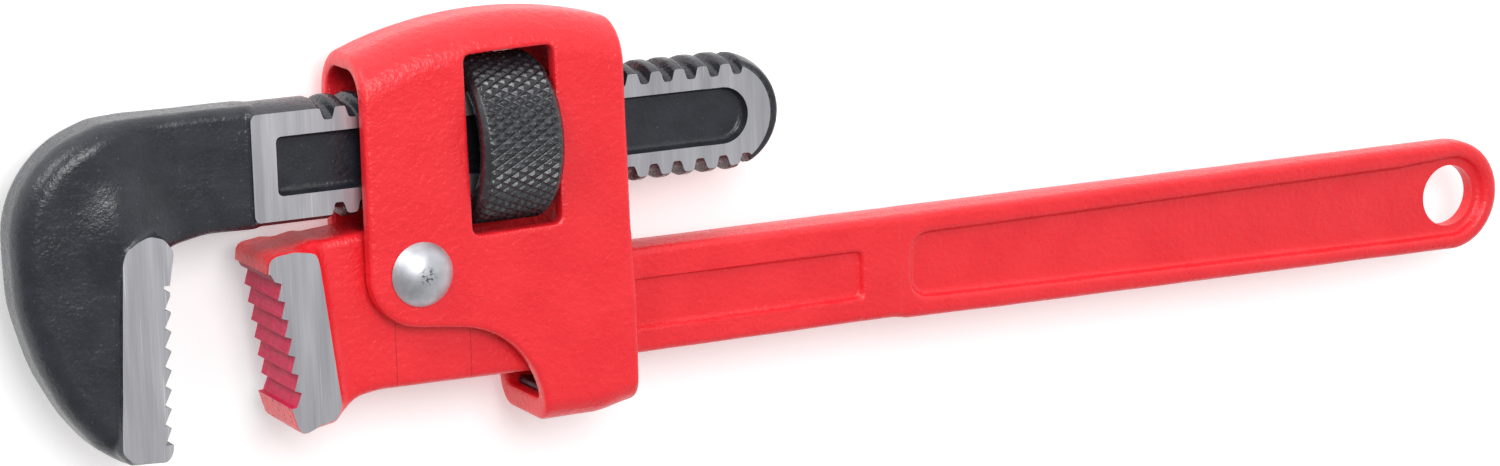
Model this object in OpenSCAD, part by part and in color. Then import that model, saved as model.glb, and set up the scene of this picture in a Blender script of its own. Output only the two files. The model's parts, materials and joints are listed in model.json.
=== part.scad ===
// Adjustable pipe wrench with a swinging frame. A forged handle carries the fixed heel jaw, a frame is riveted
// to it, and a hook jaw slides through the frame on a flat-sided screw shank as the knurled nut turns.
// Millimetres. The wrench lies flat: +X runs along the handle to its free end, +Y points to the screw shank,
// +Z is up. Outlines are drawn from the pivot rivet's axis, and place() moves the hanging hole to the origin.

/* [Thread] */
// Pitch of the single-start right-hand adjusting thread
pitch = 4.8; // [4.75:0.01:4.85]
// Radius over the thread crests of the screw shank
crest_r = 11.1; // [11:0.05:11.2]
// Depth of the thread grooves
groove_depth = 1.8; // [1.6:0.1:1.9]
// Width of a groove at the crests
groove_w = 2.9; // [2.7:0.1:3]
// Gap between the nut's ridge and the walls of the shank's grooves
thread_gap = 0.4; // [0.35:0.05:0.4]

/* [Hook jaw] */
// Half the thickness of the shank over its ground flats
shank_half = 5.5; // [5.3:0.1:5.8]
// Half the thickness of the hook's forged body
hook_half = 7.4; // [7:0.1:7.8]
// Half the width of both jaws over their ground sides
jaw_half = 8.25; // [8:0.05:8.5]
// Number of teeth on the hook jaw
hook_teeth = 8; // [7:1:8]
// Depth of the jaw teeth
tooth_depth = 1.3; // [1:0.1:1.5]

/* [Handle] */
// Distance along X from the pivot rivet to the hanging hole
hang_x = 235.9; // [230:0.1:240]
// Radius of the hanging hole
hang_r = 6.4; // [5.5:0.1:6.8]
// Half the thickness of the handle at the jaw end of the grip
grip_half = 4.8; // [4.5:0.1:5.2]
// Half the thickness of the handle at its free end
end_half = 3.4; // [3:0.1:3.8]
// Half the thickness of the web round the hanging hole
web_half = 1.45; // [1.2:0.05:1.8]
// Number of teeth on the heel jaw
heel_teeth = 7; // [6:1:7]

/* [Frame] */
// Half the width of the frame over its side plates
frame_half = 10.2; // [10:0.1:10.4]
// Half the width of the space between the side plates
cavity_half = 7.1; // [7:0.1:7.2]
// Radius of the frame's domed back
dome_r = 78.5; // [77:0.5:80]
// Thickness of the domed back
dome_wall = 2.6; // [2.4:0.1:3]
// Length of the nut's window along the shank
window_len = 17.6; // [17.4:0.1:17.8]

/* [Nut and rivet] */
// Radius of the adjusting nut over its knurl
nut_r = 15.4; // [14.8:0.1:15.6]
// Length of the adjusting nut
nut_len = 15.7; // [15.2:0.1:15.8]
// Radius of the pivot rivet's shank
rivet_r = 3.5; // [3:0.1:4]
// Radius of the pivot rivet's domed heads
rivet_head_r = 5.9; // [5.5:0.1:6.2]
// Height of the pivot rivet's domed heads
rivet_head_h = 2.9; // [2.5:0.1:3.2]

/* [Hidden] */
$fn = 96;
reach = 120;

// Thread
screw_y = 21.4;
root_r = crest_r - groove_depth;
root_w = 0.57 * groove_w;
flank_slope = (groove_w - root_w) / 2 / groove_depth;
first_groove_x = -15.2;
grooves = 18;
lead_angle = atan(pitch / (2 * PI * (crest_r + root_r) / 2));
groove_arc = 100;
bore_r = crest_r + thread_gap;
ridge_tip_r = root_r + thread_gap;
ridge_base_r = bore_r + 0.5;
ridge_step = 15;

// Hook jaw and its shank
pad_x = -29.2;
shank_ball_x = 65.5;
pad_recess = [[-24.7, 16.1], [63.65, 26.8]];
pad_recess_depth = 2;
neck_half = shank_half - 0.7;
hook_back = concat(arc([-21.9, 9], 50.9, 222, 180, 16), arc([-53.5, 12.6], 19.2, 180, 110, 14));
hook_toe = arc([-52.2, -20.5], 8, 299, 229, 8);
hook_outline = concat(
    [[pad_x + 1, 10.4], [-37.5, 10.4], [-44.4, 9.2], [-46.3, 7.5], [-48.6, 3], [-50, -24]],
    hook_toe, hook_back, [[-56, 32.1], [-50, screw_y + crest_r], [pad_x + 1, screw_y + crest_r]]);
hook_plan = [[-80, 6.6], [-64, hook_half], [-48, hook_half], [-37, neck_half + 0.4], [-20, neck_half]];
tooth_pitch = 3.43;
hook_tip = [-46.2, 2.1];
hook_lean = 0.186;
hook_rake = 0.5;
strip_back = [[-49.6, 12.2], [-51.4, 11.5], [-53.9, 9.8], [-54.5, 8], [-56.5, -25.4], [-54.6, -27.4]];

// Handle and heel jaw
hang_y = -14;
heel_tip = [-27.2, 1.6];
heel_lean = 0.465;
heel_pitch = 3.35;
heel_rake = 0.5;
heel_block = [[-15.4, -25.6], [-14.4, -22.4], [-17.6, 4], [-18.4, 7.4], [-23.2, 6.7]];
heel_nose = arc([-26.5, 4.6], 1.7, 95, 185, 6);
neck_outline = [[-22, 5.5], [-18.6, 7.4], [-10, 8], [1, 7.4], [9, 3.8], [46, -1.5], [46, -22.2], [-7, -21.3],
                [-11.5, -22], [-14.6, -24.4], [-20, -24.5]];
neck_plan_half = 6.3;
grip_top = [[40, -1.4], [129, -1.8], [hang_x, -2.35]];
grip_bottom = [[238, -25.4], [125, -23.5], [103, -23], [100, -22.4], [40, -22.1]];
handle_plan = [[-40, neck_plan_half], [30, neck_plan_half], [46, grip_half], [124, grip_half],
               [219, end_half], [260, end_half]];
end_arc_r = 11.65;
panel_corner_r = 4;
panel_left = [104.2 + panel_corner_r, -19 + panel_corner_r];
panel_wall_r = 8.6;
panel_core = [[90, grip_half - 1.6], [124, grip_half - 1.7], [219, web_half], [260, web_half]];
short_panel = [[36, -7.4], [91.5, -8], [93.5, -10], [93.5, -15.4], [91.5, -17.4], [36, -17]];
short_panel_depth = 1;

// Frame
plate_left = -9.8;
plate_arc_r = 9.8;
dome_centre = [19.5, 45 - dome_r];
dome_corner_r = 7.5;
cavity_corner_r = 4.5;
notch_centre = [5.2, -29];
notch_r = 18.3;
loop_bottom = -31;
loop_floor = -26.7;
loop_corner_r = 5;
frame_outline = concat(
    [[41, 50], [plate_left, 50]], arc([0, 0], plate_arc_r, 180, 262.7, 10), arc(notch_centre, notch_r, 82.7, 0, 12),
    [[24.3, -30.6], [26, loop_bottom], [37.5, -30.8], [40, -29.7], [41.5, -28.3], [42.7, -24], [42.7, -10],
     [41.9, 5], [41.5, 29]]);
window_centre = [18.8, 22.3];
window_size = [window_len, 32.8];
window_lean = 1.2;
window_corner_r = 1.5;
nut_end_gap = 0.6;
nut_x = window_centre.x + window_len / 2 - nut_end_gap - nut_len;
nut_chamfer = 0.8;
plate_bore_gap = 0.05;
handle_bore_gap = 0.02;
rivet_seat = 0.05;

// Springs: leaves of spring steel as wide as they fit between the plates
leaf_t = 0.8;
loop_leaf_half = 6;
loop_bead = [26.4, -26.2];
loop_bead_r = 1;
bead_seat_r = 1.3;
loop_leaf = [loop_bead, [33.5, -24.6], [39.4, -23.1], [40.3, -22.95]];
shank_leaf_half = 4;
shank_leaf = [[28.6, 40.95], [31, 40.7], [33.4, 40.2], [35.4, 38.9], [37.2, 36.4], [38.8, 34.2], [40, 33.4],
              [41.2, 33.8]];
spring_rivet_x = 31;
spring_rivet_r = 1.5;
spring_rivet_y = [39, 43.9];
spring_rivet_head_r = 2.2;
spring_rivet_head_h = 0.7;

// Points along an arc, from one angle to another
function arc(centre, r, from, to, steps) =
    [for (i = [0 : steps]) let (a = from + (to - from) * i / steps) centre + r * [cos(a), sin(a)]];

// A line of [x, half thickness] points closed on its own mirror image
function mirrored(line) = concat(line, [for (i = [len(line) - 1 : -1 : 0]) [line[i].x, -line[i].y]]);

// Unit normal of a line of points at point i
function normal(p, i) =
    let (d = p[min(i + 1, len(p) - 1)] - p[max(i - 1, 0)]) [-d.y, d.x] / norm(d);

// Outline of a strip of thickness t along a line of points
function ribbon(p, t) = concat(
    [for (i = [0 : len(p) - 1]) p[i] + normal(p, i) * t / 2],
    [for (i = [len(p) - 1 : -1 : 0]) p[i] - normal(p, i) * t / 2]);

// Saw teeth between the bottom and the top of a jaw face: each tooth has a short steep flank and a long one
hook_row = [for (i = [hook_teeth - 1 : -1 : 0]) let (tip = hook_tip - i * [hook_lean, tooth_pitch])
    each [tip, tip + [-tooth_depth, hook_rake]]];
heel_row = [for (i = [0 : heel_teeth - 1]) let (tip = heel_tip + i * [heel_lean, -heel_pitch])
    each [tip, tip + [tooth_depth, -heel_rake]]];

// Everything is drawn from the rivet's axis and moved so that the hanging hole is the origin
module place() {
    translate([-hang_x, -hang_y, 0]) children();
}

// An outline in X and Y, half_z thick either side of the wrench's middle plane
module slab(outline, half_z) {
    translate([0, 0, -half_z]) linear_extrude(2 * half_z) polygon(outline);
}

// All that lies within a half thickness that changes along X
module within_plan(line) {
    translate([0, reach, 0]) rotate([90, 0, 0]) linear_extrude(2 * reach) polygon(mirrored(line));
}

// A solid of revolution about the screw's axis, from a profile of [radius, distance along X]
module about_screw(x) {
    translate([x, screw_y, 0]) rotate([0, 90, 0]) children();
}

// A rectangle with round corners, made of true arcs
module round_rect(low, high, r) {
    translate([low.x + r, low.y]) square([high.x - low.x - 2 * r, high.y - low.y]);
    translate([low.x, low.y + r]) square([high.x - low.x, high.y - low.y - 2 * r]);
    for (x = [low.x + r, high.x - r], y = [low.y + r, high.y - r]) translate([x, y]) circle(r);
}

// One side's stretch of a thread groove: side is 1 at the back of the shank and -1 at its belly
module groove(x, side) {
    overcut = 1;
    w = [root_w / 2, groove_w / 2 + overcut * flank_slope];
    translate([x, screw_y, 0]) rotate([0, side * lead_angle, 0]) rotate([0, 90, 0])
        rotate([0, 0, side * 90 - groove_arc / 2]) rotate_extrude(angle = groove_arc)
            polygon([[root_r, -w[0]], [crest_r + overcut, -w[1]], [crest_r + overcut, w[1]], [root_r, w[0]]]);
}

// The sunk panel on the shank's flats, square at the neck and round at the free end
module pad_recess_plan() {
    round_rect(pad_recess[0], pad_recess[1] + [1, 0], 1);
    translate([pad_recess[1].x, (pad_recess[0].y + pad_recess[1].y) / 2])
        circle((pad_recess[1].y - pad_recess[0].y) / 2);
}

// The screw shank: a threaded bar with a ball end, ground flat on both sides
module shank() {
    difference() {
        intersection() {
            union() {
                about_screw(pad_x) cylinder(r = crest_r, h = shank_ball_x - pad_x);
                translate([shank_ball_x, screw_y, 0]) sphere(crest_r);
            }
            translate([pad_x, screw_y - crest_r, -shank_half])
                cube([reach, 2 * crest_r, 2 * shank_half]);
        }
        for (i = [0 : grooves - 1]) {
            groove(first_groove_x + i * pitch, 1);
            groove(first_groove_x + (i + 0.5) * pitch, -1);
        }
        for (side = [-1, 1]) translate([0, 0, side * (shank_half + reach / 2 - pad_recess_depth)])
            linear_extrude(reach, center = true) pad_recess_plan();
    }
}

module hook_jaw() {
    color("#2b2d31") place() union() {
        shank();
        intersection() {
            slab(hook_outline, jaw_half);
            within_plan(hook_plan);
        }
        slab(concat([[-48.3, -27.8], [-47.8, -25.8], [-48.8, -24.9]], hook_row,
                    [[-47.4, 4.4], [-45.4, 9.6], [-47.2, 11.6]], strip_back), jaw_half);
    }
}

// The grip: a bar that thins towards its end, with a sunk panel on each side
module grip() {
    difference() {
        intersection() {
            union() {
                slab(concat(grip_top, grip_bottom), reach);
                translate([hang_x + 0.3, hang_y + 0.05, -reach]) cylinder(r = end_arc_r, h = 2 * reach);
            }
            within_plan(handle_plan);
        }
        difference() {
            union() {
                slab(concat(
                    arc([panel_left.x, -5.9 - panel_corner_r], panel_corner_r, 180, 90, 6),
                    [[222, -6.2], [hang_x, hang_y + panel_wall_r], [hang_x, hang_y - panel_wall_r], [222, -22.4]],
                    arc(panel_left, panel_corner_r, 270, 180, 6)), reach);
                translate([hang_x, hang_y, -reach]) cylinder(r = panel_wall_r, h = 2 * reach);
            }
            within_plan(panel_core);
        }
        for (side = [-1, 1]) translate([0, 0, side * (grip_half + reach - short_panel_depth)])
            slab(short_panel, reach);
        translate([hang_x, hang_y, -reach]) cylinder(r = hang_r, h = 2 * reach);
    }
}

module handle() {
    color("#d8262c") place() union() {
        slab(concat(heel_nose, heel_row, [[-23.9, -22], [-23.6, -26.2], [-22.4, -26.9]], heel_block), jaw_half);
        difference() {
            slab(neck_outline, neck_plan_half);
            translate([46, -30, -reach]) cube([reach, 60, 2 * reach]);
            translate([30, -40, 0]) neck_taper();
            mirror([0, 0, 1]) translate([30, -40, 0]) neck_taper();
            translate([0, 0, -reach]) cylinder(r = rivet_r + handle_bore_gap, h = 2 * reach);
        }
        grip();
    }
}

// What the neck loses on one side as it thins to the grip
module neck_taper() {
    rotate([90, 0, 0]) translate([0, 0, -80]) linear_extrude(80)
        polygon([[0, neck_plan_half], [16, grip_half], [16, reach], [0, reach]]);
}

// The disc that gives the frame its domed back, r out from the dome's centre and half_z to each side
module dome(r, half_z, corner_r) {
    translate(dome_centre) rotate_extrude($fn = 180) {
        translate([0, -half_z]) square([r - corner_r, 2 * half_z]);
        translate([0, corner_r - half_z]) square([r, 2 * (half_z - corner_r)]);
        for (side = [-1, 1]) translate([r - corner_r, side * (half_z - corner_r)]) intersection() {
            circle(corner_r);
            translate([0, -reach]) square([reach, 2 * reach]);
        }
    }
}

module frame() {
    color("#e4262d") place() difference() {
        intersection() {
            slab(frame_outline, frame_half);
            dome(dome_r, frame_half, dome_corner_r);
            rotate([90, 0, 90]) translate([0, 0, -reach]) linear_extrude(2 * reach)
                round_rect([loop_bottom, -frame_half], [reach, frame_half], loop_corner_r);
        }
        intersection() {
            translate([-reach, loop_floor, -cavity_half]) cube([2 * reach, 2 * reach, 2 * cavity_half]);
            dome(dome_r - dome_wall, cavity_half, cavity_corner_r);
        }
        translate(window_centre) rotate(window_lean) linear_extrude(2 * reach, center = true)
            round_rect(-window_size / 2, window_size / 2, window_corner_r);
        translate([0, 0, -reach]) cylinder(r = rivet_r + plate_bore_gap, h = 2 * reach);
        translate([loop_bead.x, loop_bead.y, -cavity_half]) cylinder(r = bead_seat_r, h = 2 * cavity_half);
        spring_rivet_shank(plate_bore_gap);
    }
}

// The ridge inside the nut: one helix whose turns lie in the shank's grooves
module nut_thread() {
    ends = [nut_x + 1.7, nut_x + nut_len - 1.7];
    turn = [for (x = ends) (x - first_groove_x) / pitch * 360];
    count = floor((turn[1] - turn[0]) / ridge_step);
    tip_w = root_w / 2 + thread_gap * flank_slope - thread_gap;
    base_w = tip_w + (ridge_base_r - ridge_tip_r) * flank_slope;
    section = [[ridge_tip_r, -tip_w], [ridge_base_r, -base_w], [ridge_base_r, base_w], [ridge_tip_r, tip_w]];
    points = [for (i = [0 : count], s = section) let (a = turn[0] + i * ridge_step)
        [first_groove_x + a / 360 * pitch + s.y, screw_y + s.x * cos(a), s.x * sin(a)]];
    sides = [for (i = [0 : count - 1], k = [0 : 3])
        [4 * i + k, 4 * i + (k + 1) % 4, 4 * i + 4 + (k + 1) % 4, 4 * i + 4 + k]];
    caps = [[3, 2, 1, 0], [for (k = [0 : 3]) 4 * count + k]];
    polyhedron(points, concat(sides, caps));
}

module adjusting_nut() {
    color("#33353a") place() union() {
        about_screw(nut_x) rotate_extrude() polygon([
            [bore_r, 0], [nut_r - nut_chamfer, 0], [nut_r, nut_chamfer], [nut_r, nut_len - nut_chamfer],
            [nut_r - nut_chamfer, nut_len], [bore_r, nut_len]]);
        nut_thread();
    }
}

module pivot_rivet() {
    seat_z = frame_half + rivet_seat;
    ball_r = (pow(rivet_head_r, 2) + pow(rivet_head_h, 2)) / (2 * rivet_head_h);
    color("silver") place() union() {
        translate([0, 0, -seat_z - 0.1]) cylinder(r = rivet_r, h = 2 * (seat_z + 0.1));
        for (side = [-1, 1]) intersection() {
            translate([0, 0, side * (seat_z + rivet_head_h - ball_r)]) sphere(ball_r);
            translate([0, 0, side * (seat_z + ball_r)]) cube(2 * ball_r, center = true);
        }
    }
}

// The lower leaf pushes the frame's loop away from the handle. Its rolled root lies in a seat across the loop
module loop_spring() {
    color("#54575c") place() union() {
        translate([loop_bead.x, loop_bead.y, -loop_leaf_half]) cylinder(r = loop_bead_r, h = 2 * loop_leaf_half);
        slab(ribbon(loop_leaf, leaf_t), loop_leaf_half);
    }
}

// The upper leaf steadies the shank behind the nut. It is riveted under the frame's domed back
module shank_spring() {
    color("#54575c") place() difference() {
        slab(ribbon(shank_leaf, leaf_t), shank_leaf_half);
        spring_rivet_shank(plate_bore_gap);
    }
}

module spring_rivet_shank(gap) {
    translate([spring_rivet_x, spring_rivet_y[0], 0]) rotate([-90, 0, 0])
        cylinder(r = spring_rivet_r + gap, h = spring_rivet_y[1] - spring_rivet_y[0] + 2 * gap);
}

module spring_rivet() {
    color("#8d9096") place() union() {
        spring_rivet_shank(0);
        translate([spring_rivet_x, spring_rivet_y[0], 0]) rotate([-90, 0, 0])
            cylinder(r = spring_rivet_head_r, h = spring_rivet_head_h);
    }
}

handle();
hook_jaw();
frame();
adjusting_nut();
pivot_rivet();
loop_spring();
shank_spring();
spring_rivet();
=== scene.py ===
"""Looks of the pipe wrench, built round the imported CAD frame.

Each forging and casting is modelled as a distance field in millimetres from the pivot rivet's axis, with
x along the handle, y towards the screw shank and z up, and is turned into a closed mesh. Ground faces, teeth
and bores are then cut crisply with booleans. The finished meshes are moved to the row frame, in metres, and
ride the CAD's bodies.
"""

import json
import math

import bmesh
import bpy
import numpy as np
from mathutils import Matrix, Vector


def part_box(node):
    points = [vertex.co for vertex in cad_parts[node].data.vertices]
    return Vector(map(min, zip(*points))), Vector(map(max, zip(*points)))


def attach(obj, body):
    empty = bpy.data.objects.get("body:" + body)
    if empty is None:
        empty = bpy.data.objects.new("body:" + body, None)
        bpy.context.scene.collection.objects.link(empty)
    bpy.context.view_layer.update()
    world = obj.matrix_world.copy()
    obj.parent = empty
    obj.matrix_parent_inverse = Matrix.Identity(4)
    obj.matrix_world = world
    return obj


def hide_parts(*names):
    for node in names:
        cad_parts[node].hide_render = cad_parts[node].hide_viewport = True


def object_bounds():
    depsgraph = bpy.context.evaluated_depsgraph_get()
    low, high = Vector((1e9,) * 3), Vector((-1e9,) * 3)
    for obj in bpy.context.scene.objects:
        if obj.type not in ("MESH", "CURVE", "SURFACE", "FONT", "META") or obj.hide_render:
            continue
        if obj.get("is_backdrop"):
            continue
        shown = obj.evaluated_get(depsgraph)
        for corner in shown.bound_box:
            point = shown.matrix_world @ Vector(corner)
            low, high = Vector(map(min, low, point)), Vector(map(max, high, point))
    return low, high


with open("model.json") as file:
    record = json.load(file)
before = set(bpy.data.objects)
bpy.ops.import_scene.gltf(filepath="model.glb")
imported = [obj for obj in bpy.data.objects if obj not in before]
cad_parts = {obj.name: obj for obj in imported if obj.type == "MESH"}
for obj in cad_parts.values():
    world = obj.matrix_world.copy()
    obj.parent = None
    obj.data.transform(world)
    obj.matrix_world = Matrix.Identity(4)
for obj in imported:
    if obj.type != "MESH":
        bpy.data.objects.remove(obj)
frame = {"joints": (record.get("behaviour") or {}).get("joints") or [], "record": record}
cad_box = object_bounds()

MM = 0.001
PIVOT = Vector(next(joint["pos_m"] for joint in frame["joints"] if joint["name"] == "frame_pivot"))


# ---------------------------------------------------------------- places and sizes, from the frame
def node_box(name):
    """A CAD node's lowest and highest corner, in millimetres from the pivot."""
    low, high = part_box(name)
    return (low - PIVOT) / MM, (high - PIVOT) / MM


JAW_HALF = node_box("handle")[1].z
FRAME_HALF = node_box("frame")[1].z
NUT_LOW, NUT_HIGH = node_box("adjusting_nut")
NUT_R = (NUT_HIGH.y - NUT_LOW.y) / 2
SCREW_Y = (NUT_LOW.y + NUT_HIGH.y) / 2
NUT_TURN = next(c["ratio"] for c in frame["record"]["behaviour"]["couplings"] if c["joint"] == "nut_spin")
PITCH = 2 * math.pi / NUT_TURN / MM
HOLE = Vector((-PIVOT.x / MM, -PIVOT.y / MM))
HOLE_R = 6.4


# ---------------------------------------------------------------- distance fields
def arc(centre, r, start, end, steps):
    """Points along an arc, angles in degrees."""
    angles = np.radians(np.linspace(start, end, steps + 1))
    return [(centre[0] + r * math.cos(a), centre[1] + r * math.sin(a)) for a in angles]


def circle(centre, r, steps):
    """The points of a whole circle, without the first one again at the end."""
    return arc(centre, r, 0, 360 - 360 / steps, steps - 1)


def anticlockwise(points):
    """The outline, turned round if it runs clockwise."""
    area = sum(a[0] * b[1] - b[0] * a[1] for a, b in zip(points, points[1:] + points[:1]))
    return points if area > 0 else points[::-1]


def outline_distance(x, y, points):
    """Signed distance to a closed outline, negative inside."""
    nearest = np.full(x.shape, 1e9, np.float32)
    inside = np.zeros(x.shape, bool)
    for (ax, ay), (bx, by) in zip(points, points[1:] + points[:1]):
        ex, ey = bx - ax, by - ay
        along = np.clip(((x - ax) * ex + (y - ay) * ey) / (ex * ex + ey * ey + 1e-12), 0, 1)
        nearest = np.minimum(nearest, (x - ax - along * ex) ** 2 + (y - ay - along * ey) ** 2)
        if ay != by:
            inside ^= ((ay > y) != (by > y)) & (x < ax + (y - ay) * ex / ey)
    return np.where(inside, -np.sqrt(nearest), np.sqrt(nearest))


def box_distance(x, y, low, high, r):
    """Signed distance to a rectangle with round corners."""
    cx, cy = (low[0] + high[0]) / 2, (low[1] + high[1]) / 2
    qx = np.abs(x - cx) - (high[0] - low[0]) / 2 + r
    qy = np.abs(y - cy) - (high[1] - low[1]) / 2 + r
    return np.hypot(np.maximum(qx, 0), np.maximum(qy, 0)) + np.minimum(np.maximum(qx, qy), 0) - r


def both(a, b, r=0.0):
    """Intersection of two fields, its edge rounded to radius r."""
    if np.isscalar(r) and r == 0:
        return np.maximum(a, b)
    u, v = np.maximum(a + r, 0), np.maximum(b + r, 0)
    return np.minimum(-r, np.maximum(a, b)) + np.sqrt(u * u + v * v)


def either(a, b, r=0.0):
    """Union of two fields, its inner corner filled to radius r."""
    return -both(-a, -b, r)


def cut(a, b, r=0.0):
    """a without b, its new edge rounded to radius r."""
    return both(a, -b, r)


def ramp(v, start, end):
    """0 before start, 1 after end, smooth between."""
    t = np.clip((v - start) / (end - start), 0, 1)
    return t * t * (3 - 2 * t)


def soften(field, cells):
    """A flat field blurred by a few cells, which rounds the corners of its outline."""
    size = 2 * cells + 1
    for axis in (0, 1):
        for _ in range(2):
            padded = np.pad(field, [(cells, cells) if a == axis else (0, 0) for a in (0, 1)], mode="edge")
            total = np.cumsum(padded, axis=axis, dtype=np.float64)
            total = np.concatenate([np.zeros_like(np.take(total, [0], axis)), total], axis)
            upper = np.take(total, range(size, total.shape[axis]), axis)
            lower = np.take(total, range(0, total.shape[axis] - size), axis)
            field = (upper - lower) / size
    return field


def wander(g, scale, seed):
    """Smooth irregular values near -1 to 1, for the slight waviness of a forging."""
    random = np.random.default_rng(seed)
    waves, spread = 7, 3.2
    total = 0
    for _ in range(waves):
        direction = random.normal(size=3)
        direction *= random.uniform(0.6, 1.5) / np.linalg.norm(direction) * 2 * math.pi / scale
        phase = random.uniform(0, 2 * math.pi)
        total = total + np.sin(direction[0] * g.x + direction[1] * g.y + direction[2] * g.z + phase)
    return total / spread


def unambiguous(field):
    """The field with the odd corner moved outside wherever a grid square has its inside on one diagonal only,
    which would give an edge shared by four faces."""
    just_outside = 1e-4
    for _ in range(6):
        inside = field < 0
        found = 0
        for u, v in ((0, 1), (1, 2), (0, 2)):
            def corner(i, j):
                ends = {u: i, v: j}
                return tuple(slice(ends[n], ends[n] - 1 + field.shape[n]) if n in ends else slice(None)
                             for n in range(3))
            a, b, c, d = (inside[corner(*ij)] for ij in ((0, 0), (1, 0), (1, 1), (0, 1)))
            for start, odd in (((0, 0), a & c & ~b & ~d), ((1, 0), b & d & ~a & ~c)):
                where = np.argwhere(odd)
                where[:, u] += start[0]
                where[:, v] += start[1]
                field[tuple(where.T)] = just_outside
                found += len(where)
        if not found:
            break
    return field


class Grid:
    """Sample points of a box, in millimetres from the pivot."""

    def __init__(self, low, high, step):
        self.low, self.step = np.array(low, float), step
        axes = [np.arange(a, b + step, step, dtype=np.float32) for a, b in zip(low, high)]
        self.x2, self.y2 = np.meshgrid(axes[0], axes[1], indexing="ij")
        self.x, self.y = self.x2[:, :, None], self.y2[:, :, None]
        self.z = axes[2][None, None, :]

    def outline(self, points):
        """Signed distance to an outline, over the flat samples."""
        return outline_distance(self.x2, self.y2, anticlockwise(points))

    def box(self, low, high, r):
        return box_distance(self.x2, self.y2, low, high, r)

    def circle(self, centre, r):
        return np.hypot(self.x2 - centre[0], self.y2 - centre[1]) - r

    def mesh(self, field, name):
        """The field's zero surface as a closed mesh, by surface nets."""
        field = np.broadcast_to(field, (self.x.shape[0], self.y.shape[1], self.z.shape[2]))
        field = unambiguous(np.array(field, np.float32))
        verts, number = self.net_points(field)
        return mesh_object(name, verts, net_faces(field < 0, number))

    def net_points(self, field):
        """A point in each cell the surface passes through, and the number of each cell's point."""
        inside = field < 0
        shape = [n - 1 for n in field.shape]
        corners = [(i, j, k) for i in (0, 1) for j in (0, 1) for k in (0, 1)]
        count = np.zeros(shape, np.int8)
        for i, j, k in corners:
            count += inside[i:i + shape[0], j:j + shape[1], k:k + shape[2]]
        cells = np.argwhere((count > 0) & (count < len(corners)))
        total = np.zeros((len(cells), 3))
        crossings = np.zeros(len(cells))
        for a in corners:
            for axis in range(3):
                if a[axis] == 0:
                    b = tuple(v + (axis == n) for n, v in enumerate(a))
                    fa, fb = (field[tuple((cells + c).T)] for c in (a, b))
                    crossed = (fa < 0) != (fb < 0)
                    t = np.where(crossed, fa / np.where(crossed, fa - fb, 1), 0)
                    point = np.repeat(np.array([a], float), len(cells), 0)
                    point[:, axis] += t
                    total += point * crossed[:, None]
                    crossings += crossed
        number = np.full(shape, -1, np.int64)
        number[tuple(cells.T)] = np.arange(len(cells))
        return (cells + total / crossings[:, None]) * self.step + self.low, number


def net_faces(inside, number):
    """A quad round every grid edge that crosses the surface, facing outward."""
    faces = []
    for axis in range(3):
        u, v = (axis + 1) % 3, (axis + 2) % 3
        here, there = [slice(None)] * 3, [slice(None)] * 3
        here[axis], there[axis] = slice(0, -1), slice(1, None)
        a, b = inside[tuple(here)], inside[tuple(there)]
        edges = np.argwhere(a != b)
        outward = a[tuple(edges.T)]
        loop = []
        for du, dv in ((-1, -1), (0, -1), (0, 0), (-1, 0)):
            cell = edges.copy()
            cell[:, u] += du
            cell[:, v] += dv
            loop.append(number[tuple(cell.T)])
        quads = np.stack(loop, 1)
        quads[~outward] = quads[~outward][:, ::-1]
        faces.append(quads)
    return np.concatenate(faces)


# ---------------------------------------------------------------- meshes
def mesh_object(name, verts, faces):
    """A mesh object still in millimetres from the pivot."""
    mesh = bpy.data.meshes.new(name)
    faces = [list(map(int, f)) for f in faces]
    mesh.from_pydata(np.asarray(verts, float).tolist(), [], faces)
    mesh.update()
    obj = bpy.data.objects.new(name, mesh)
    bpy.context.scene.collection.objects.link(obj)
    return obj


def prism(outline, low, high):
    """A closed prism of an outline between two heights."""
    outline = anticlockwise(outline)
    n = len(outline)
    verts = [(x, y, z) for z in (low, high) for x, y in outline]
    sides = [(i, (i + 1) % n, n + (i + 1) % n, n + i) for i in range(n)]
    return mesh_object("cutter", verts, [tuple(range(n))[::-1], tuple(range(n, 2 * n))] + sides)


def slab_cutters(x0, x1, y0, y1, height):
    """Two boxes that remove all beyond a height on either side of the middle plane."""
    outline = [(x0, y0), (x1, y0), (x1, y1), (x0, y1)]
    clear = 30
    return [prism(outline, -clear, -height), prism(outline, height, clear)]


def remove(obj, cutters):
    """Cuts each of the cutters out of the object and uses them up."""
    for cutter in cutters:
        modifier = obj.modifiers.new("cut", "BOOLEAN")
        modifier.operation = "DIFFERENCE"
        modifier.solver = "MANIFOLD"
        modifier.object = cutter
        graph = bpy.context.evaluated_depsgraph_get()
        mesh = bpy.data.meshes.new_from_object(obj.evaluated_get(graph))
        obj.modifiers.clear()
        obj.data = mesh
        bpy.data.objects.remove(cutter)


def flip_if_inside_out(obj):
    bm = bmesh.new()
    bm.from_mesh(obj.data)
    if bm.calc_volume(signed=True) < 0:
        bmesh.ops.reverse_faces(bm, faces=bm.faces)
        bm.to_mesh(obj.data)
    bm.free()


def choose_materials(mesh, pick):
    """Gives each face the material that pick names, from its centre and normal in millimetres."""
    faces = len(mesh.polygons)
    centres, normals = np.zeros(faces * 3), np.zeros(faces * 3)
    mesh.polygons.foreach_get("center", centres)
    mesh.polygons.foreach_get("normal", normals)
    chosen = pick(centres.reshape(-1, 3).T, normals.reshape(-1, 3).T)
    mesh.polygons.foreach_set("material_index", np.asarray(chosen, np.int32))


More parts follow.
